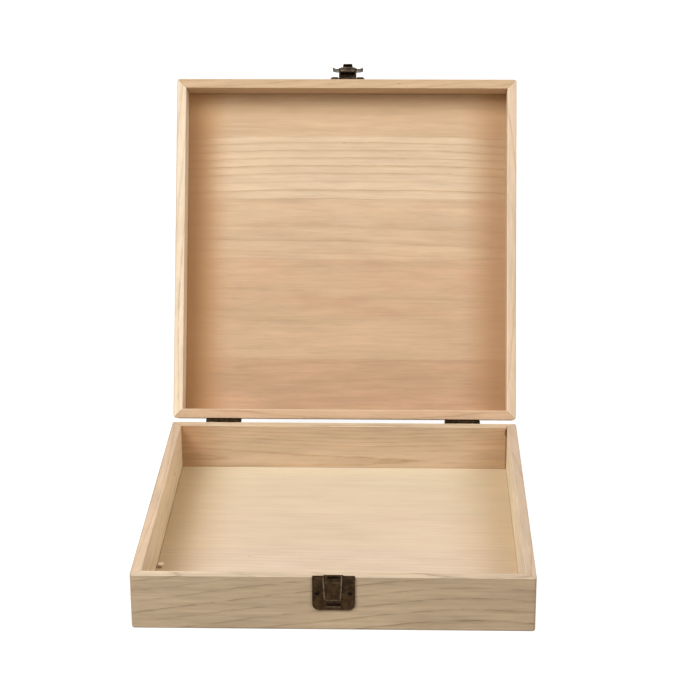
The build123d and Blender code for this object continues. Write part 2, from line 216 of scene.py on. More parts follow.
def makeYearRings():
    group, given, result = makeGroup(
        "yearRings",
        [
            ("Vector", vectorSocket, None),
            ("Ring Width", floatSocket, 0.005),
            ("Wander", floatSocket, 0.002),
            ("Crook Slope", floatSocket, 0.0),
            ("Crook Place", floatSocket, 0.0),
            ("Crook Width", floatSocket, 0.05),
            ("Dashes", floatSocket, 0.5),
        ],
        ("Line", "Tone"),
    )
    vector, width, wander, slope, place, reach, dashes = [given[i] for i in range(7)]
    look = ringShape
    x, y, z = split(group, vector)
    away = calc(group, "SUBTRACT", x, place)
    reach = calc(group, "MULTIPLY", reach, reach)
    bow = calc(group, "SQRT", calc(group, "MULTIPLY_ADD", away, away, reach))
    y = calc(group, "MULTIPLY_ADD", bow, slope, y)
    radius = calc(group, "SQRT", calc(group, "MULTIPLY_ADD", y, y, calc(group, "MULTIPLY", z, z)))
    slow = calc(group, "SUBTRACT", noise(group, vector, *look["slow"]), 0.5)
    quick = calc(group, "SUBTRACT", noise(group, vector, *look["quick"]), 0.5)
    radius = calc(group, "MULTIPLY_ADD", slow, calc(group, "MULTIPLY", wander, look["slowShare"]), radius)
    radius = calc(group, "MULTIPLY_ADD", quick, calc(group, "MULTIPLY", wander, look["quickShare"]), radius)
    turns = calc(group, "DIVIDE", radius, width)
    tone = addNode(group, "ShaderNodeTexWhiteNoise", noise_dimensions="1D")
    feed(group, tone.inputs["W"], calc(group, "FLOOR", turns))
    line = ramp(group, calc(group, "FRACT", turns), look["growth"], "EASE")[0]
    gaps = fit(group, noise(group, vector, *look["gaps"]), *look["gapEnds"], 1.0, 0.0)
    whole = calc(group, "SUBTRACT", 1.0, calc(group, "MULTIPLY", gaps, dashes))
    feed(group, result["Line"], calc(group, "MULTIPLY", line, whole))
    feed(group, result["Tone"], tone.outputs["Value"])
    return group


# Named as the group's outputs are
fibreShape = {
    "Streak": ((30, 560, 560), 3.0, 0.6),
    "Band": ((17, 150, 150), 3.0, 0.6),
    "Mottle": ((13, 48, 48), 3.0, 0.6),
    "Blush": ((24, 95, 95), 3.0, 0.6),  # where the wood turns rosy
}
speckShape = {
    "Pore": (((75, 1500, 1500), 1.0), (0.6, 0.72)),
    "Fleck": (((180, 800, 800), 1.0), (0.785, 0.815)),
}


def makeWoodFibre():
    outputs = (*fibreShape, *speckShape)
    group, given, result = makeGroup("woodFibre", [("Vector", vectorSocket, None)], outputs)
    for name, shape in fibreShape.items():
        feed(group, result[name], noise(group, given[0], *shape))
    for name, (shape, ends) in speckShape.items():
        feed(group, result[name], fit(group, noise(group, given[0], *shape), *ends))
    return group


markShape = {
    "ragged": ((900, 900, 900), 2.0),
    "raggedShare": 0.5,
    "ends": (0.9, 1.3),  # where a mark is still whole and where it is gone, as shares of its reach
}


def makeMark():
    # A small ragged stain or hole about one place
    group, given, result = makeGroup(
        "mark",
        [("Vector", vectorSocket, None), ("Place", vectorSocket, None), ("Reach", vectorSocket, None)],
        ("Share",),
    )
    vector, place, reach = given[0], given[1], given[2]
    away = addNode(group, "ShaderNodeVectorMath", operation="SUBTRACT")
    feed(group, away.inputs[0], vector)
    feed(group, away.inputs[1], place)
    scaled = addNode(group, "ShaderNodeVectorMath", operation="DIVIDE")
    feed(group, scaled.inputs[0], away.outputs[0])
    feed(group, scaled.inputs[1], reach)
    length = addNode(group, "ShaderNodeVectorMath", operation="LENGTH")
    feed(group, length.inputs[0], scaled.outputs[0])
    ragged = noise(group, vector, *markShape["ragged"])
    ragged = calc(group, "MULTIPLY_ADD", ragged, markShape["raggedShare"], length.outputs["Value"])
    feed(group, result["Share"], fit(group, ragged, *markShape["ends"], 1.0, 0.0))
    return group


wearShape = {
    "patches": ((420, 420, 420), 3.0, 0.6),  # where a rubbed edge is brighter
    "patchEnds": (0.35, 0.6, 0.25, 1.0),
    "scuffs": ((900, 900, 900), 2.0),
    "scuffEnds": (0.66, 0.74, 0.0, 0.5),
    "patina": ((260, 260, 260), 3.0, 0.65),
    "grain": ((3200, 3200, 3200), 2.0),
}


def makeWornMetal():
    group, given, result = makeGroup(
        "wornMetal",
        [("Vector", vectorSocket, None), ("Edge", floatSocket, 0.0)],
        ("Wear", "Patina", "Grain"),
    )
    vector, edge = given[0], given[1]
    patches = fit(group, noise(group, vector, *wearShape["patches"]), *wearShape["patchEnds"])
    scuffs = fit(group, noise(group, vector, *wearShape["scuffs"]), *wearShape["scuffEnds"])
    rubbed = calc(group, "MULTIPLY", edge, patches)
    feed(group, result["Wear"], calc(group, "MAXIMUM", rubbed, scuffs))
    feed(group, result["Patina"], noise(group, vector, *wearShape["patina"]))
    feed(group, result["Grain"], noise(group, vector, *wearShape["grain"]))
    return group


yearRings = makeYearRings()
woodFibre = makeWoodFibre()
mark = makeMark()
wornMetal = makeWornMetal()
print("shared effects made")


# Wood. Every board is cut from its own log

lidHinge = next(joint for joint in frame["joints"] if joint["name"] == "lid_hinge")
hingePlace = Vector(lidHinge["pos_m"])
lidAngle = radians(lidHinge["range_deg"][1])
closeLid = Matrix.Rotation(lidAngle, 4, "X")
closeLid = Matrix.Translation(hingePlace) @ closeLid @ Matrix.Translation(-hingePlace)

boxHalf = cadBox[1].x
innerHalf = -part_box("base_front")[1].y
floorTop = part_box("base_floor")[1].z
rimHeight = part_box("base_front")[1].z
panelThick = 0.004
lidPanelUnder = (closeLid @ ((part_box("lid_top")[0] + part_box("lid_top")[1]) / 2)).z - panelThick / 2

# Rows of the matrices that turn the shut box's axes into a log's axes
alongFront = Matrix(((1, 0, 0), (0, 0, -1), (0, 1, 0))).to_4x4()
alongSide = Matrix(((0, 1, 0), (0, 0, -1), (-1, 0, 0))).to_4x4()

wood = {
    "line": paint(168, 134, 96),
    "rose": paint(200, 162, 132),
    # dark flecks and nail holes, also the painted shade at a wall's foot
    "fleck": paint(120, 84, 58),
    # dark joints, also used for painted shade
    "seam": paint(122, 84, 52),
    # painted shade beside walls and in corners, and painted light that brightens a shaded edge
    "toned": paint(176, 132, 86),
    "gilded": paint(250, 214, 162),
    # painted highlight for the rim's edges, also the colour of chipped glue
    "arris": paint(250, 232, 206),
    # the darker, greyer colour given to some outer edges
    "soiled": paint(146, 130, 116),
    # how much darker or lighter each kind of fibre makes the wood
    "Streak": (-0.064, 0.054),
    "Band": (-0.09, 0.07),
    "Mottle": (-0.065, 0.055),
    "fibreEnds": (0.28, 0.72),
    "poreShade": -0.05,
    "fleckShare": 0.45,
    "ringTone": (0.35, 1.0),  # how strong the faintest and the strongest ring are
    "roseEnds": (0.4, 0.72),
    "poreDepth": -0.8,
    "ringHeight": 0.35,
    "roughness": (0.54, 0.72),
    "roughEnds": (0.2, 0.8),
    "sheen": 0.35,
    "bumpStrength": 0.35,
    "bumpDistance": 0.00025,
    "insideEnds": (0.0001, 0.0004),  # how far behind the inner faces what only they have stops
    "rimEnds": (0.0001, 0.0004),  # how far below the rim its painted colour stops
    "endReach": 0.04,  # how far from the corners the painted shade at an inner face's ends reaches
    "mitreEnds": (0.000088, 0.000352),  # how far from a mitre its dark line is whole, and gone
    "mitreShare": 0.5,
    "arrisWidth": 0.0011,
    "arrisEnds": (0.00033, 0.00088),  # how far from the edge its tone is whole, and gone
    "frontFade": 0.135,  # how much painted shade darkens the front towards its right end
    "footHeight": 0.0011,
    "footPatches": ((90, 90, 900), 2.0),
    "footEnds": (0.4, 0.6),
    "footLeast": 0.2,
}

# pale: the colour between the year rings
# rim and wall: the board's colour on the rim and on the inner face, where they differ, painted lighter or
# darker as the light falls there
# ends: how much painted shade darkens the inner face towards its left and right corner
# line: the colour of the rings, where it isn't the wood's, thin: how fine they are, where that isn't 1
# pith: where the log's middle lies from the board's middle, across the grain, in the face and behind it
# tilt: how far the log leans from the board, in degrees, seen from above and from the side
# crook: how much, where along the board and how gently the year rings bend
# ring: how wide a year ring is, wander: how far it strays
# lines: how strong the rings are, rose: how rosy the patches between them are
# coarse: how much the fine shading shows, dashes: how broken the year rings are
# foot: how strong the painted shade in the gap along the board's foot is, where there is one
boards = {
    "base_front": dict(
        pale=paint(202, 180, 149), rim=paint(220, 201, 174), line=paint(136, 112, 86), thin=1.4,
        pith=(0.045, 0.02), tilt=(0.0, 0.0), crook=(-0.15, 0.089, 0.05), ring=0.0068, wander=0.002,
        lines=0.8, rose=0.05, coarse=1.7, dashes=0.6,
    ),
    "base_back": dict(
        pale=paint(202, 178, 149), rim=paint(222, 201, 171), ends=(0.8, 0.5),
        pith=(0.012, 0.006), tilt=(1.0, 1.0), crook=(0.05, 0.03, 0.05), ring=0.0026, wander=0.0014,
        lines=0.75, rose=0.2, coarse=1.2, dashes=0.4,
    ),
    "base_left": dict(
        pale=paint(235, 217, 186), rim=paint(219, 195, 167),
        pith=(-0.03, 0.04), tilt=(2.0, -2.0), crook=(0.1, -0.02, 0.05), ring=0.0042, wander=0.0015,
        lines=0.6, rose=0.15, coarse=1.0, dashes=0.5, foot=0.8,
    ),
    "base_right": dict(
        pale=paint(222, 199, 169), rim=paint(205, 184, 160), wall=paint(246, 234, 208),
        pith=(0.04, 0.03), tilt=(-2.0, 1.5), crook=(-0.08, 0.03, 0.05), ring=0.004, wander=0.0015,
        lines=0.6, rose=0.15, coarse=1.0, dashes=0.5,
    ),
    "lid_front": dict(
        pale=paint(206, 177, 143),
        pith=(0.05, 0.04), tilt=(2.0, -3.0), crook=(0.06, -0.04, 0.05), ring=0.004, wander=0.0015,
        lines=0.6, rose=0.25, coarse=1.0, dashes=0.5,
    ),
    "lid_back": dict(
        pale=paint(204, 173, 141),
        pith=(-0.05, 0.03), tilt=(-2.5, 2.0), crook=(-0.07, 0.05, 0.05), ring=0.004, wander=0.0015,
        lines=0.6, rose=0.3, coarse=1.0, dashes=0.5,
    ),
    "lid_left": dict(
        pale=paint(240, 222, 195),
        pith=(0.06, 0.04), tilt=(1.5, 2.0), crook=(0.08, 0.06, 0.05), ring=0.0042, wander=0.0015,
        lines=0.6, rose=0.2, coarse=1.2, dashes=0.5,
    ),
    "lid_right": dict(
        pale=paint(220, 198, 170),
        pith=(-0.05, 0.05), tilt=(-1.0, -2.0), crook=(0.09, -0.05, 0.05), ring=0.0044, wander=0.0015,
        lines=0.6, rose=0.2, coarse=1.2, dashes=0.5,
    ),
}

# The rim's two edges: how strong the painted highlight on them is or, under 0, how much darker and greyer
# they are painted
# inner: the edge towards the box's middle, outer: the one away from it
arrises = {
    "base_front": dict(inner=0.0, outer=0.1),
    "base_back": dict(inner=0.2, outer=0.3),
    "base_left": dict(inner=0.0, outer=-0.4),
    "base_right": dict(inner=0.3, outer=-0.3),
    "lid_back": dict(inner=0.3, outer=0.0),
    "lid_left": dict(inner=0.1, outer=-0.3),
    "lid_right": dict(inner=0.6, outer=-0.3),
}

# Traces of handwork: a nail hole, chipped glue and an open joint, at places in the shut box
marks = {
    "base_left": [
        dict(place=(-0.1183, 0.071, 0.0185), reach=(0.003, 0.0016, 0.0014), share=0.9, colour="fleck"),
        dict(place=(-0.1183, -0.0475, 0.0045), reach=(0.003, 0.0022, 0.0014), share=0.85, colour="fleck"),
    ],
    "base_floor": [
        dict(place=(-0.1165, -0.0475, 0.004), reach=(0.0022, 0.0026, 0.003), share=0.85, colour="fleck"),
        dict(place=(-0.1158, -0.0425, 0.004), reach=(0.0022, 0.0026, 0.003), share=0.9, colour="arris"),
    ],
    "base_back": [
        dict(place=(0.1183, 0.1183, 0.032), reach=(0.002, 0.004, 0.004), share=0.9, colour="fleck"),
        dict(place=(0.1183, 0.1183, 0.018), reach=(0.0014, 0.004, 0.03), share=0.6, colour="seam"),
    ],
    "base_right": [
        dict(place=(0.1183, 0.1183, 0.032), reach=(0.001, 0.0016, 0.004), share=0.9, colour="fleck"),
    ],
}


def woodColour(tree, log, look, pale, lineShare, roseShare):
    slope, place, reach = look["crook"]
    rings = useGroup(
        tree, yearRings, Vector=log, RingWidth=look["ring"], Wander=look["wander"],
        CrookSlope=slope, CrookPlace=place, CrookWidth=reach, Dashes=look["dashes"],
    )
    fibre = useGroup(tree, woodFibre, Vector=log)
    strength = fit(tree, rings["Tone"], 0.0, 1.0, *wood["ringTone"], "LINEAR")
    strength = calc(tree, "MULTIPLY", strength, lineShare)
    line = calc(tree, "MULTIPLY", calc(tree, "POWER", rings["Line"], look.get("thin", 1.0)), strength)
    patches = calc(tree, "MULTIPLY", fit(tree, fibre["Blush"], *wood["roseEnds"]), roseShare)
    colour = mixColour(tree, patches, pale, wood["rose"])
    colour = mixColour(tree, line, colour, look.get("line", wood["line"]))
    shade = calc(tree, "MULTIPLY", fibre["Pore"], wood["poreShade"])
    for kind in ("Streak", "Band", "Mottle"):
        shade = calc(tree, "ADD", shade, fit(tree, fibre[kind], *wood["fibreEnds"], *wood[kind], "LINEAR"))
    shade = calc(tree, "MULTIPLY_ADD", shade, look["coarse"], 1.0)
    grey = addNode(tree, "ShaderNodeCombineColor")
    for socket in grey.inputs[:3]:
        feed(tree, socket, shade)
    colour = mixColour(tree, 1.0, colour, grey.outputs[0], "MULTIPLY")
    flecks = calc(tree, "MULTIPLY", fibre["Fleck"], wood["fleckShare"])
    colour = mixColour(tree, flecks, colour, wood["fleck"])
    height = calc(tree, "MULTIPLY_ADD", fibre["Pore"], wood["poreDepth"], fibre["Streak"])
    height = calc(tree, "MULTIPLY_ADD", rings["Line"], wood["ringHeight"], height)
    return colour, height, fibre


def finishWood(tree, shader, name, shut, colour, height, fibre):
    for trace in marks.get(name, []):
        share = useGroup(tree, mark, Vector=shut, Place=trace["place"], Reach=trace["reach"])["Share"]
        share = calc(tree, "MULTIPLY", share, trace["share"])
        colour = mixColour(tree, share, colour, wood[trace["colour"]])
    feed(tree, shader.inputs["Base Color"], colour)
    rough = fit(tree, fibre["Streak"], *wood["roughEnds"], *wood["roughness"], "LINEAR")
    feed(tree, shader.inputs["Roughness"], rough)
    shader.inputs["Specular IOR Level"].default_value = wood["sheen"]
    addBump(tree, shader, height, wood["bumpStrength"], wood["bumpDistance"])


def leanOf(look):
    fromAbove, fromSide = [radians(angle) for angle in look["tilt"]]
    return Matrix.Rotation(fromAbove, 4, "Z") @ Matrix.Rotation(fromSide, 4, "Y")


def makeBoardWood(name, look):
    material, tree, shader, coords = newMaterial(name + "_wood")
    shutMatrix = closeLid if name.startswith("lid") else Matrix.Identity(4)
    axes = alongSide if name.endswith(("left", "right")) else alongFront
    middle = axes @ shutMatrix @ ((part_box(name)[0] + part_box(name)[1]) / 2)
    pith = Vector((0, middle.y + look["pith"][0], middle.z + look["pith"][1]))
    log = mapped(tree, coords, leanOf(look) @ Matrix.Translation(-pith) @ axes @ shutMatrix)
    shut = mapped(tree, coords, shutMatrix)
    x, y, z = split(tree, shut)
    acrossX, acrossY = calc(tree, "ABSOLUTE", x), calc(tree, "ABSOLUTE", y)
    reach = calc(tree, "MAXIMUM", acrossX, acrossY)
    fromRim = calc(tree, "ABSOLUTE", calc(tree, "SUBTRACT", z, rimHeight))
    inside = fit(tree, reach, *[innerHalf + end for end in wood["insideEnds"]], 1.0, 0.0)
    pale = look["pale"]
    # Painted light: the inner face is painted lighter where the light falls on it
    if "wall" in look:
        pale = mixColour(tree, inside, pale, look["wall"])
    # Painted shade in the inner face's corners
    if "ends" in look:
        left, right = look["ends"]
        left = fit(tree, x, -innerHalf, wood["endReach"] - innerHalf, left, 0.0)
        right = fit(tree, x, innerHalf - wood["endReach"], innerHalf, 0.0, right)
        ends = calc(tree, "MULTIPLY", calc(tree, "MAXIMUM", left, right), inside)
        pale = mixColour(tree, ends, pale, wood["toned"])
    # Painted light and shade: the rim is painted lighter or darker than the board's face
    if "rim" in look:
        pale = mixColour(tree, fit(tree, fromRim, *wood["rimEnds"], 1.0, 0.0), pale, look["rim"])
    colour, height, fibre = woodColour(tree, log, look, pale, look["lines"], look["rose"])
    fromMitre = calc(tree, "ABSOLUTE", calc(tree, "SUBTRACT", acrossX, acrossY))
    mitre = fit(tree, fromMitre, *wood["mitreEnds"], wood["mitreShare"], 0.0)
    colour = mixColour(tree, mitre, colour, wood["seam"])
    # A painted highlight along the rim's edges, or a darker, greyer edge where the share is under 0
    if name in arrises:
        inner, outer = arrises[name]["inner"], arrises[name]["outer"]
        atInner = fit(tree, reach, innerHalf, innerHalf + wood["arrisWidth"], inner, 0.0)
        atInner = calc(tree, "MULTIPLY", atInner, fit(tree, fromRim, *wood["arrisEnds"], 1.0, 0.0))
        corner = calc(tree, "MAXIMUM", calc(tree, "SUBTRACT", boxHalf, reach), fromRim)
        atOuter = fit(tree, corner, *wood["arrisEnds"], abs(outer), 0.0)
        colour = mixColour(tree, atInner, colour, wood["arris"])
        colour = mixColour(tree, atOuter, colour, wood["arris" if outer > 0 else "soiled"])
    # Painted shade, darker towards the front's right end
    if name == "base_front":
        fade = fit(tree, x, -boxHalf, boxHalf, 0.0, wood["frontFade"], "LINEAR")
        colour = mixColour(tree, fade, colour, wood["seam"])
    # Painted shade in the gap between the wall's foot and the floor
    if "foot" in look:
        patches = noise(tree, shut, *wood["footPatches"])
        uneven = fit(tree, patches, *wood["footEnds"], wood["footLeast"], look["foot"])
        footShade = fit(tree, z, floorTop, floorTop + wood["footHeight"], 1.0, 0.0)
        footShade = calc(tree, "MULTIPLY", calc(tree, "MULTIPLY", footShade, uneven), inside)
        colour = mixColour(tree, footShade, colour, wood["fleck"])
    finishWood(tree, shader, name, shut, colour, height, fibre)
    return material


for boardName, boardLook in boards.items():
    node = frame["nodes"][boardName]
    node.data.materials.clear()
    node.data.materials.append(makeBoardWood(boardName, boardLook))
print("boards finished")


# Panels, glued up from strips. start: where a strip begins, as a share of the panel's depth from the front
# shift: which part of the log it was cut from, deep: how far from the pith
# soft: how gently one strip's colour turns into the next
# edge: how wide the painted shade lines along the panel's joints with the walls are
# seams: how strong they are at the left, right, front and back edge
# toned: how much painted shade browns the wood beside them or, under 0, how much painted light brightens it,
# tint: the colour of that painted shade
# fade: how far from the edge it starts and is whole. The rest is as on the boards

glueUp = {
    "wave": ((20, 900, 900), 2.0),  # the joints between strips aren't quite straight
    "waveShare": 0.012,
    # how far one unit of shift moves the log along and across, and one of deep moves it away
    "shiftAlong": 1.7,
    "shiftAcross": 0.34,
    "deepAway": 0.1,
    "jointEnds": (0.0005, 0.0016),  # how far from a joint its line is whole, and gone, in the panel's depths
    "jointShare": 0.12,
    "faceEnds": (0.0003, 0.0008),  # how far from its inner face what only that has stops
}

panels = {
    "base_floor": dict(
        ring=0.0045, wander=0.0018, crook=(0.03, 0.0, 0.08), tilt=(0.6, 0.3), coarse=0.5, dashes=0.5,
        soft=0.004, edge=0.0009, seams=(0.5, 0.4, 0.2, 0.85),
        toned=(0.55, 0.4, 0.1, 0.0), fade=(0.05, 0.0), tint=paint(186, 154, 104),
        strips=[
            dict(start=0.0, pale=paint(224, 206, 182), shift=0.05, deep=0.3, lines=0.45, rose=0.2),
            dict(start=0.2, pale=paint(223, 205, 183), shift=0.35, deep=0.3, lines=0.4, rose=0.12),
            dict(start=0.42, pale=paint(224, 206, 181), shift=0.6, deep=0.4, lines=0.2, rose=0.08),
            dict(start=0.66, pale=paint(225, 209, 183), shift=0.2, deep=0.4, lines=0.15, rose=0.05),
            dict(start=0.86, pale=paint(225, 211, 184), shift=0.8, deep=0.3, lines=0.25, rose=0.05),
        ],
    ),
    "lid_top": dict(
        line=paint(160, 124, 80), thin=0.7,
        ring=0.0055, wander=0.002, crook=(-0.05, 0.165, 0.08), tilt=(0.0, 0.0), coarse=1.0, dashes=0.35,
        soft=0.004, edge=0.0009, seams=(0.6, 0.1, 0.6, 0.1),
        toned=(0.85, 0.57, -0.2, 0.0), fade=(0.036, 0.008), tint=paint(176, 132, 86),
        strips=[
            dict(start=0.0, pale=paint(209, 180, 147), shift=0.39, deep=0.4, lines=0.25, rose=0.25),
            dict(start=0.135, pale=paint(218, 194, 164), shift=0.097, deep=0.12, lines=0.65, rose=0.1),
            dict(start=0.335, pale=paint(210, 182, 151), shift=0.137, deep=0.5, lines=0.4, rose=0.35),
            dict(start=0.525, pale=paint(203, 172, 140), shift=0.1, deep=0.6, lines=0.12, rose=0.7),
            dict(start=0.7, pale=paint(202, 172, 140), shift=0.076, deep=0.6, lines=0.1, rose=0.2),
            dict(start=0.84, pale=paint(188, 156, 125), shift=0.01, deep=0.6, lines=0.2, rose=0.65),
        ],
    ),
}


def makePanelWood(name, look):
    material, tree, shader, coords = newMaterial(name + "_wood")
    onLid = name.startswith("lid")
    shut = mapped(tree, coords, closeLid) if onLid else coords
    x, y, z = split(tree, shut)
    wave = calc(tree, "SUBTRACT", noise(tree, shut, *glueUp["wave"]), 0.5)
    span = fit(tree, y, -innerHalf, innerHalf, 0.0, 1.0, "LINEAR")
    span = calc(tree, "MULTIPLY_ADD", wave, glueUp["waveShare"], span)
    strips = look["strips"]
    stops = [(0.0, strips[0]["pale"])]
    for before, after in zip(strips, strips[1:]):
        stops.append((after["start"] - look["soft"], before["pale"]))
        stops.append((after["start"] + look["soft"], after["pale"]))
    pale = ramp(tree, span, stops)[0]
    # Three of a strip's numbers ride in a colour and the fourth in its alpha
    riding = ("shift", "lines", "rose", "deep")
    cuts = [(strip["start"], tuple(strip[key] for key in riding)) for strip in strips]
    cut, deep = ramp(tree, span, cuts, "CONSTANT")
    shift, lines, rose = splitColour(tree, cut)
    below = calc(tree, "SUBTRACT", z, lidPanelUnder if onLid else floorTop)
    moved = addNode(tree, "ShaderNodeCombineXYZ")
    feed(tree, moved.inputs[0], calc(tree, "MULTIPLY_ADD", shift, glueUp["shiftAlong"], x))
    feed(tree, moved.inputs[1], calc(tree, "MULTIPLY_ADD", shift, glueUp["shiftAcross"], y))
    feed(tree, moved.inputs[2], calc(tree, "MULTIPLY_ADD", deep, glueUp["deepAway"], below))
    log = mapped(tree, moved.outputs[0], leanOf(look))
    colour, height, fibre = woodColour(tree, log, look, pale, lines, rose)
    nearest = 1.0
    for strip in strips[1:]:
        fromJoint = calc(tree, "ABSOLUTE", calc(tree, "SUBTRACT", span, strip["start"]))
        nearest = calc(tree, "MINIMUM", nearest, fromJoint)
    joint = fit(tree, nearest, *glueUp["jointEnds"], glueUp["jointShare"], 0.0)
    colour = mixColour(tree, joint, colour, wood["seam"])
    inside = fit(tree, calc(tree, "ABSOLUTE", below), *glueUp["faceEnds"], 1.0, 0.0)
    fadeStart, fadeWhole = [innerHalf - away for away in look["fade"]]
    lineStart = innerHalf - look["edge"]
    jointShadeLine = 0.0
    # Painted shade beside the walls or, where the share is under 0, painted light
    for axis, side, share, tone in zip((x, x, y, y), (-1, 1, -1, 1), look["seams"], look["toned"]):
        reach = calc(tree, "MULTIPLY", axis, side)
        edgeShading = calc(tree, "MULTIPLY", fit(tree, reach, fadeStart, fadeWhole, 0.0, abs(tone)), inside)
        colour = mixColour(tree, edgeShading, colour, look["tint"] if tone > 0 else wood["gilded"])
        jointShadeLine = calc(tree, "MAXIMUM", jointShadeLine, fit(tree, reach, lineStart, innerHalf, 0.0, share))
    # Painted shade in the joints between the panel and the walls
    colour = mixColour(tree, calc(tree, "MULTIPLY", jointShadeLine, inside), colour, wood["seam"])
    finishWood(tree, shader, name, shut, colour, height, fibre)
    return material


for panelName, panelLook in panels.items():
    node = frame["nodes"][panelName]
    node.data.materials.clear()
    node.data.materials.append(makePanelWood(panelName, panelLook))
print("panels finished")


# Antique bronze hardware

# dark and brown: the two tones of the patina, bare: the metal where it is rubbed
# glint: the colour of its gloss at a low angle, wearAndPaintedLight: how much bare metal shows where it is
# worn and, on the catch plate, where its highlight is painted
bronze = {
    "catch": dict(
        dark=paint(43, 32, 21), brown=paint(66, 49, 31), bare=paint(106, 92, 77),
        glint=paint(200, 184, 160), roughness=0.4, wearAndPaintedLight=0.95,
    ),
    "nail": dict(
        dark=paint(18, 13, 9), brown=paint(32, 24, 17), bare=paint(84, 70, 54),
        glint=paint(170, 150, 125), roughness=0.4, wearAndPaintedLight=0.3,
    ),
    "sheet": dict(
        dark=paint(36, 27, 19), brown=paint(56, 43, 31), bare=paint(104, 88, 70),
        glint=paint(200, 184, 160), roughness=0.4, wearAndPaintedLight=0.5,
    ),
    "lever": dict(
        dark=paint(54, 44, 34), brown=paint(80, 67, 53), bare=paint(172, 160, 140),
        glint=paint(255, 252, 246), roughness=0.22, wearAndPaintedLight=0.8, metallic=0.8,
    ),
    # A darker copy of the bronze, as painted shade for the hinges in the shaded gap between lid and base
    "hinge": dict(
        dark=paint(32, 23, 12), brown=paint(50, 36, 18), bare=paint(92, 78, 62),
        glint=paint(110, 90, 66), roughness=0.42, wearAndPaintedLight=0.5,
    ),
    # painted shade for the catch plate's slot and groove
    "dirt": paint(20, 12, 8),
    "metallic": 0.95,
    "patinaEnds": (0.35, 0.65),
    "roughEnds": (0.3, 0.7),
    "smoother": 0.06,  # how much under and over its roughness the patina's patches go
    "rougher": 0.14,
    "bumpStrength": 0.25,
    "bumpDistance": 0.00004,
}

# The catch plate's keeper and the painted highlight line round it and along its brow, where its raised edges
# catch the light
keeper = {
    "topHalf": 0.00645,  # half its width at the top and at its end
    "endHalf": 0.0054,
    "length": 0.0184,
    "brow": 0.0053,  # how far its brow's edge is below the top
    "front": -0.1279,
    "stands": 0.0021,  # how far it stands out, and the share of that, from the front, that carries the painted highlight
    "proudShare": 0.9,
    "lean": 0.0009,  # how far its walls lean in
    # how far inside the outline the line runs, how far it is moved at the keeper's end, and how far from
    # its middle it is whole, and gone, all as shares of the lean
    "lineShare": 0.6,
    "endShare": 0.5,
    "lineEnds": (0.4, 0.8),
    # the same for the brow's line, how strong it is, and how far inside the outline it stops
    "browEnds": (0.0002, 0.0005),
    "browWear": 0.5,
    "browSides": (-0.0018, -0.0014),
}


def keeperHighlight(tree, coords):
    x, y, z = split(tree, coords)
    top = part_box("catch_plate")[1].z
    end = top - keeper["length"]
    lean = keeper["lean"]
    half = fit(tree, z, end, top, keeper["endHalf"], keeper["topHalf"], "LINEAR")
    beside = calc(tree, "SUBTRACT", calc(tree, "ABSOLUTE", x), half)
    outside = calc(tree, "MAXIMUM", beside, calc(tree, "SUBTRACT", end + lean * keeper["endShare"], z))
    apart = calc(tree, "ABSOLUTE", calc(tree, "MULTIPLY_ADD", lean, keeper["lineShare"], outside))
    line = fit(tree, apart, *[lean * share for share in keeper["lineEnds"]], 1.0, 0.0)
    proudest = keeper["front"] + keeper["stands"]
    proud = fit(tree, y, keeper["front"] + keeper["stands"] * keeper["proudShare"], proudest, 1.0, 0.0)
    below = calc(tree, "ABSOLUTE", calc(tree, "SUBTRACT", top - keeper["brow"], z))
    brow = fit(tree, below, *keeper["browEnds"], keeper["browWear"], 0.0)
    brow = calc(tree, "MULTIPLY", brow, fit(tree, beside, *keeper["browSides"], 1.0, 0.0))
    return calc(tree, "MULTIPLY", calc(tree, "MAXIMUM", line, brow), proud)


def makeBronze(kind, marked):
    # marked: the piece has the wearAndPaintedLight attribute that easedCopy writes: its worn edges and, on
    # the catch plate, painted highlight and painted shade
    look = bronze[kind]
    material, tree, shader, coords = newMaterial(kind + ("_bronze" if marked else "_bronze_round"))
    edge = 0.0
    if marked:
        edge = addNode(tree, "ShaderNodeAttribute", attribute_name="wearAndPaintedLight").outputs["Fac"]
    # The keeper's painted highlight line joins the worn edges
    if kind == "catch":
        edge = calc(tree, "ADD", edge, keeperHighlight(tree, coords))
    metal = useGroup(tree, wornMetal, Vector=coords, Edge=edge)
    colour = mixColour(tree, fit(tree, metal["Patina"], *bronze["patinaEnds"]), look["dark"], look["brown"])
    colour = mixColour(tree, calc(tree, "MULTIPLY", metal["Wear"], look["wearAndPaintedLight"]), colour, look["bare"])
    # Painted shade in the catch plate's slot and groove, where the attribute is under 0
    if marked:
        colour = mixColour(tree, calc(tree, "MULTIPLY", edge, -1.0, clamp=True), colour, bronze["dirt"])
    feed(tree, shader.inputs["Base Color"], colour)
    shader.inputs["Metallic"].default_value = look.get("metallic", bronze["metallic"])
    shader.inputs["Specular Tint"].default_value = look["glint"]
    least, most = look["roughness"] - bronze["smoother"], look["roughness"] + bronze["rougher"]
    rough = fit(tree, metal["Patina"], *bronze["roughEnds"], least, most, "LINEAR")
    feed(tree, shader.inputs["Roughness"], rough)
    addBump(tree, shader, metal["Grain"], bronze["bumpStrength"], bronze["bumpDistance"])
    return material


# Every sheet's sharp edges are eased, as a stamping's are, and marked for wear
easing = {
    "radius": 0.00022,
    "sharpAngle": 32.0,
    "smoothAngle": 34.0,
    "flatAngle": 0.5,
    "mergeDistance": 1e-6,
    "edgeWear": 1.0,
    "catchEdgeWear": 0.6,
    # the catch plate's slot, groove and lip: where they are below its top, and how strong the painted
    # highlight on the lip is, or under 0 the painted shade in the slot and groove
    "hollows": [(0.0008, 0.0042, -1.0), (0.0196, 0.0221, -0.7), (0.0221, 0.0233, 0.45)],
    "hollowHalf": 0.0048,
    # the tops of its keeper's walls slope down towards the box: above what height, behind what place in y,
    # and how steeply
    "topSlope": (0.0388, -0.1276, 0.45),
}


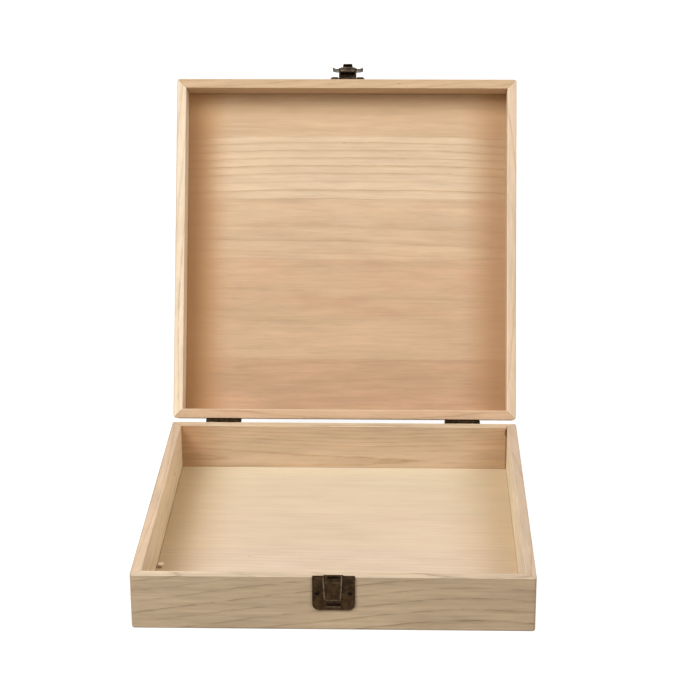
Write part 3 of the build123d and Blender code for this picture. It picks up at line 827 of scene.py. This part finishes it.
def easedCopy(nodeName, body, metal, isCatch):
    pieceName = nodeName + "_eased"
    shape = bmesh.new()
    shape.from_mesh(frame["nodes"][nodeName].data)
    wearAndPaintedLight = shape.faces.layers.float.new("wearAndPaintedLight")
    if isCatch:
        above, behind, steep = easing["topSlope"]
        for vert in shape.verts:
            if vert.co.z > above:
                vert.co.z -= max(0.0, vert.co.y - behind) * steep
    bmesh.ops.remove_doubles(shape, verts=shape.verts, dist=easing["mergeDistance"])
    flat = radians(easing["flatAngle"])
    bmesh.ops.dissolve_limit(shape, angle_limit=flat, verts=shape.verts, edges=shape.edges)
    sharpAngle = radians(easing["sharpAngle"])
    sharp = [e for e in shape.edges if len(e.link_faces) == 2 and e.calc_face_angle(0.0) > sharpAngle]
    eased = bmesh.ops.bevel(
        shape, geom=sharp, offset=easing["radius"], affect="EDGES", segments=2, profile=0.5, material=-1,
        clamp_overlap=True,
    )
    for face in eased["faces"]:
        face[wearAndPaintedLight] = easing["catchEdgeWear"] if isCatch else easing["edgeWear"]
    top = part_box(nodeName)[1].z
    for face in shape.faces:
        face.smooth = True
        middle = face.calc_center_median()
        # On the catch plate: painted shade in the slot and groove, a painted highlight on the lip
        if isCatch and abs(middle.x) < easing["hollowHalf"]:
            for start, end, paintedLightShare in easing["hollows"]:
                if start < top - middle.z < end:
                    face[wearAndPaintedLight] = paintedLightShare
    mesh = bpy.data.meshes.new(pieceName)
    shape.to_mesh(mesh)
    shape.free()
    mesh.set_sharp_from_angle(angle=radians(easing["smoothAngle"]))
    mesh.materials.append(metal)
    piece = bpy.data.objects.new(pieceName, mesh)
    bpy.context.scene.collection.objects.link(piece)
    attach(piece, body)
    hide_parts(nodeName)


catchBronze = makeBronze("catch", True)
sheetBronze = makeBronze("sheet", True)
leverBronze = makeBronze("lever", True)
shadedHingeBronze = makeBronze("hinge", True)
roundBronze = makeBronze("nail", False)
shadedHingeRoundBronze = makeBronze("hinge", False)

stampings = [
    ("catch_plate", "base", catchBronze, True),
    ("clasp_plate", "lid", sheetBronze, False),
    ("clasp_lever", "lever", leverBronze, False),
    ("hinge_left_base_leaf", "base", shadedHingeBronze, False),
    ("hinge_right_base_leaf", "base", shadedHingeBronze, False),
    ("hinge_left_lid_leaf", "lid", shadedHingeBronze, False),
    ("hinge_right_lid_leaf", "lid", shadedHingeBronze, False),
]
for stamping in stampings:
    easedCopy(*stamping)
for nodeName, node in frame["nodes"].items():
    if nodeName.endswith(("_nails", "_pin")):
        node.data.materials.clear()
        node.data.materials.append(shadedHingeRoundBronze if nodeName.startswith("hinge") else roundBronze)
print("hardware finished")


# Floor, backdrop, lights and camera

studio = {
    "floorSize": 6.0,
    "floorDrop": 0.0003,
    "floorColour": (0.3, 0.3, 0.3, 1.0),
    "floorGlowNear": 0.89,
    "floorGlowFar": 0.98,
    "glowNear": 0.5,
    "glowFar": 1.6,
    "skyStrength": 0.17,
    "skyColour": paint(255, 218, 176),  # as if the wood and the room threw light back
    "aim": (0.0, 0.05, 0.1),
}

# turn: how far to the right of the photograph's viewer, height: above the table, in degrees
lamps = {
    "keyLamp": dict(turn=-42.0, height=46.0, away=2.5, size=1.5, power=51.0),
    "fillLamp": dict(turn=50.0, height=41.0, away=2.5, size=2.0, power=33.0),
    "backLamp": dict(turn=168.0, height=34.0, away=2.5, size=2.0, power=12.0),
}


def backdropShare(tree):
    # 1 where the camera, a reflection or glass sees the backdrop, and 0 where it lights the object
    path = addNode(tree, "ShaderNodeLightPath").outputs
    share = calc(tree, "MAXIMUM", path["Is Camera Ray"], path["Is Glossy Ray"])
    return calc(tree, "MAXIMUM", share, path["Is Transmission Ray"])


def makeFloor():
    shape = bmesh.new()
    bmesh.ops.create_grid(shape, x_segments=1, y_segments=1, size=studio["floorSize"])
    bmesh.ops.translate(shape, verts=shape.verts, vec=(0, 0, -studio["floorDrop"]))
    mesh = bpy.data.meshes.new("floor")
    shape.to_mesh(mesh)
    shape.free()
    floor = bpy.data.objects.new("floor", mesh)
    bpy.context.scene.collection.objects.link(floor)
    material, tree, shader, coords = newMaterial("floorPaper")
    shader.inputs["Base Color"].default_value = studio["floorColour"]
    shader.inputs["Roughness"].default_value = 1.0
    shader.inputs["Specular IOR Level"].default_value = 0.0
    shader.inputs["Emission Color"].default_value = (1, 1, 1, 1)
    away = addNode(tree, "ShaderNodeVectorMath", operation="LENGTH")
    feed(tree, away.inputs[0], coords)
    ends = [studio[name] for name in ("glowNear", "glowFar", "floorGlowNear", "floorGlowFar")]
    glow = calc(tree, "MULTIPLY", backdropShare(tree), fit(tree, away.outputs["Value"], *ends))
    feed(tree, shader.inputs["Emission Strength"], glow)
    mesh.materials.append(material)


def makeWorld():
    world = bpy.data.worlds.new("studio")
    world.use_nodes = True
    tree = world.node_tree
    tree.nodes.clear()
    light = addNode(tree, "ShaderNodeBackground")
    out = addNode(tree, "ShaderNodeOutputWorld")
    share = backdropShare(tree)
    feed(tree, light.inputs["Color"], mixColour(tree, share, studio["skyColour"], (1, 1, 1, 1)))
    feed(tree, light.inputs["Strength"], fit(tree, share, 0.0, 1.0, studio["skyStrength"], 1.0, "LINEAR"))
    tree.links.new(light.outputs[0], out.inputs[0])
    bpy.context.scene.world = world


def makeLamp(name, look):
    light = bpy.data.lights.new(name, "AREA")
    light.shape = "SQUARE"
    light.size = look["size"]
    light.energy = look["power"]
    lamp = bpy.data.objects.new(name, light)
    turn = Matrix.Rotation(radians(look["turn"]), 4, "Z")
    turn = turn @ Matrix.Rotation(radians(-look["height"]), 4, "X")
    lamp.location = Vector(studio["aim"]) + turn @ Vector((0, -look["away"], 0))
    aim = Vector(studio["aim"]) - lamp.location
    lamp.rotation_euler = aim.to_track_quat("-Z", "Y").to_euler()
    bpy.context.scene.collection.objects.link(lamp)


# Where the photograph was taken from, found from the box's corners in it. The angles are in degrees
photo = {
    "place": (0.0409, -1.238, 0.5925),
    "yaw": -1.53,
    "pitch": 20.12,
    "roll": -0.2,
    "lens": 103.89,
    "sensor": 36.0,
}


def makeCamera():
    lens = bpy.data.cameras.new("photoCamera")
    lens.lens = photo["lens"]
    lens.sensor_width = photo["sensor"]
    camera = bpy.data.objects.new("photoCamera", lens)
    turn = Matrix.Rotation(radians(-photo["yaw"]), 4, "Z")
    turn = turn @ Matrix.Rotation(radians(90 - photo["pitch"]), 4, "X")
    turn = turn @ Matrix.Rotation(radians(photo["roll"]), 4, "Z")
    camera.matrix_world = Matrix.Translation(photo["place"]) @ turn
    bpy.context.scene.collection.objects.link(camera)
    bpy.context.scene.camera = camera


makeFloor()
makeWorld()
for lampName, lampLook in lamps.items():
    makeLamp(lampName, lampLook)
makeCamera()
bpy.context.scene.view_settings.view_transform = "Standard"
print("studio set up")
